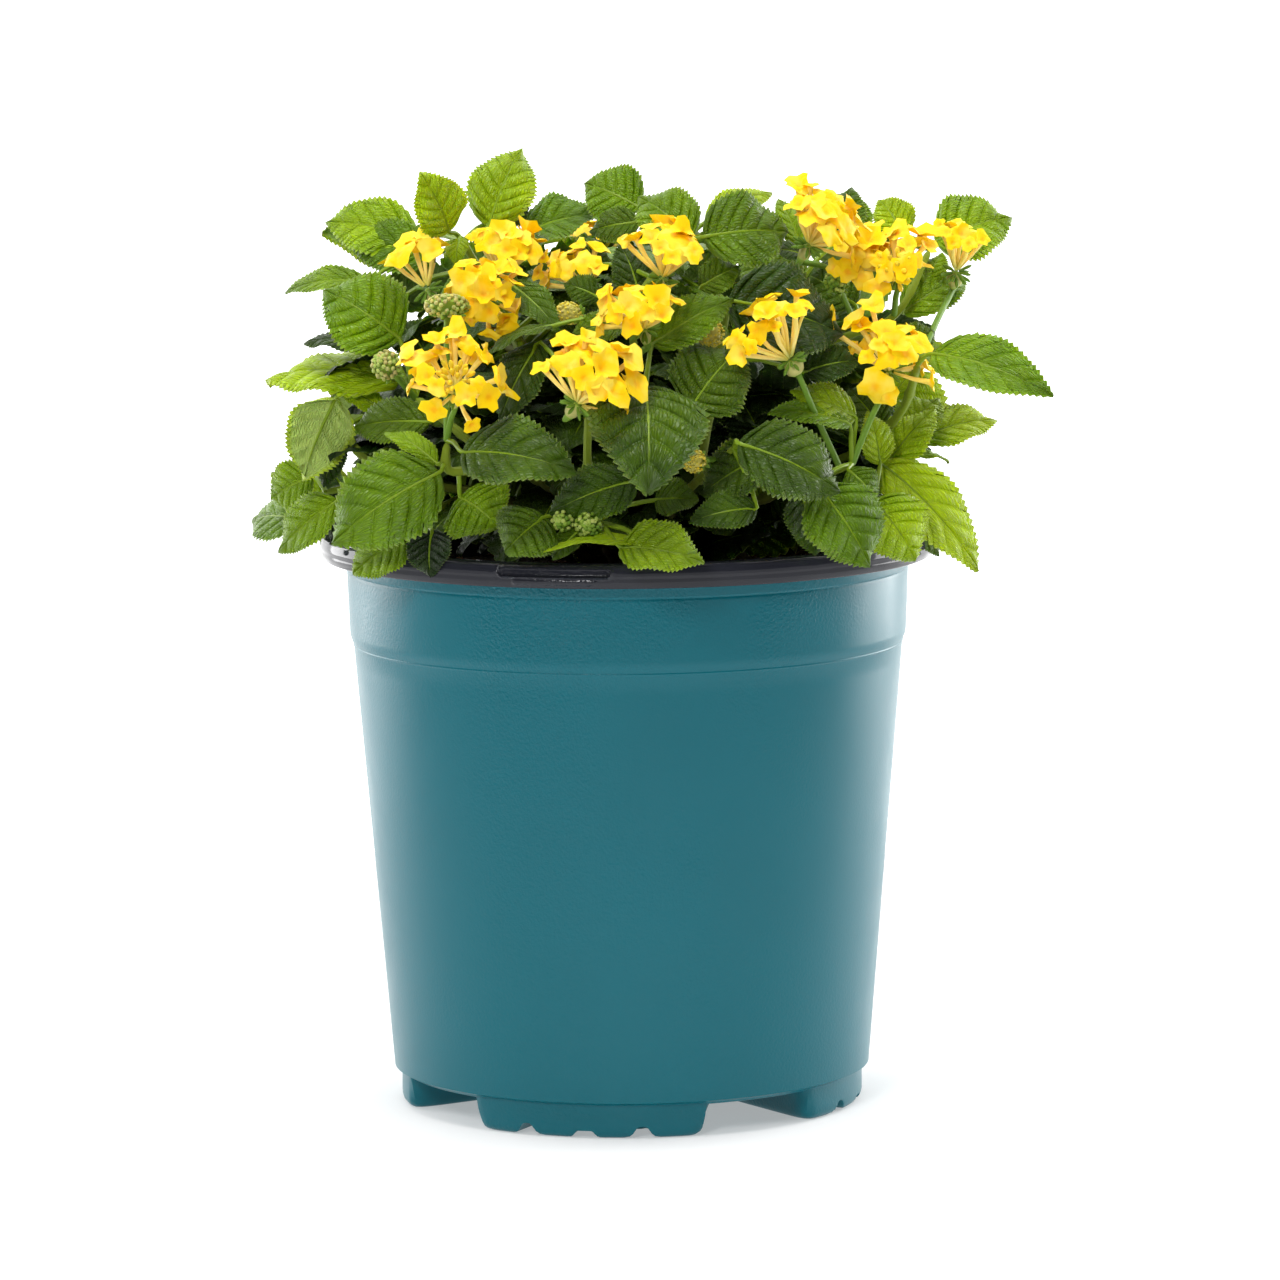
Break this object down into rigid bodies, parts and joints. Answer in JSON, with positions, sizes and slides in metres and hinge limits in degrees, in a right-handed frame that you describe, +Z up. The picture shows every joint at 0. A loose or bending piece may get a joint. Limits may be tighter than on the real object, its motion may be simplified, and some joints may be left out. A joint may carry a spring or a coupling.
{
  "type": "potted lantana",
  "caption": "Flowering lantana bush with golden flower heads and toothed leaves, growing in a round tapered plastic nursery pot on four notched feet.",
  "frame": {"origin": "on the floor at the pot's axis, which is also the middle of the plant's width and depth", "axes": "+Z up along the pot's axis, -Y towards the viewer of the picture, +X to that viewer's right"},
  "size_m": [0.3203, 0.3056, 0.3818],
  "materials": {
    "pot_plastic": "teal moulded plastic with fine orange peel, near-black gloss rim",
    "potting_mix": "dark brown crumbly bark and peat",
    "woody_stem": "rough grey-brown bark",
    "green_stem": "green to brown, slightly hairy",
    "leaf": "quilted green leaf with a soft sheen",
    "flower": "soft matt golden petals",
    "green_bud": "pale green, matt"
  },
  "bodies": {
    "root": {"pot": "pot_plastic", "soil": "potting_mix", "crown": "woody_stem", "branch_back": "green_stem", "branch_centre": "green_stem", "branch_far_right": "green_stem", "branch_front": "green_stem", "branch_front_right": "green_stem", "branch_left": "green_stem", "branch_left_low": "green_stem", "branch_right": "green_stem", "branch_upper_left": "green_stem", "branch_upper_right": "green_stem", "leaf_back_01": "leaf", "leaf_back_02": "leaf", "leaf_centre_01": "leaf", "leaf_centre_03": "leaf", "leaf_centre_05": "leaf", "leaf_centre_06": "leaf", "leaf_centre_09": "leaf", "leaf_centre_12": "leaf", "leaf_centre_14": "leaf", "leaf_centre_17": "leaf", "leaf_centre_19": "leaf", "leaf_left_01": "leaf", "leaf_left_03": "leaf", "leaf_left_05": "leaf", "leaf_left_07": "leaf", "leaf_left_09": "leaf", "leaf_left_12": "leaf", "leaf_left_13": "leaf", "leaf_left_16": "leaf", "leaf_left_18": "leaf", "leaf_right_01": "leaf", "leaf_right_02": "leaf", "leaf_right_04": "leaf", "leaf_right_13": "leaf", "leaf_right_14": "leaf", "leaf_right_17": "leaf", "leaf_right_19": "leaf", "leaf_right_23": "leaf", "leaf_right_25": "leaf", "head_01": "flower", "head_02": "flower", "head_03": "flower", "head_04": "flower", "head_05": "flower", "head_06": "flower", "head_07": "flower", "head_08": "flower", "head_09": "flower", "head_10": "flower", "head_11": "flower", "head_12": "flower", "head_13": "flower", "head_back_01": "flower", "head_back_02": "flower", "head_back_03": "flower", "bud_01": "green_bud", "bud_02": "green_bud"}
  },
  "joints": []
}
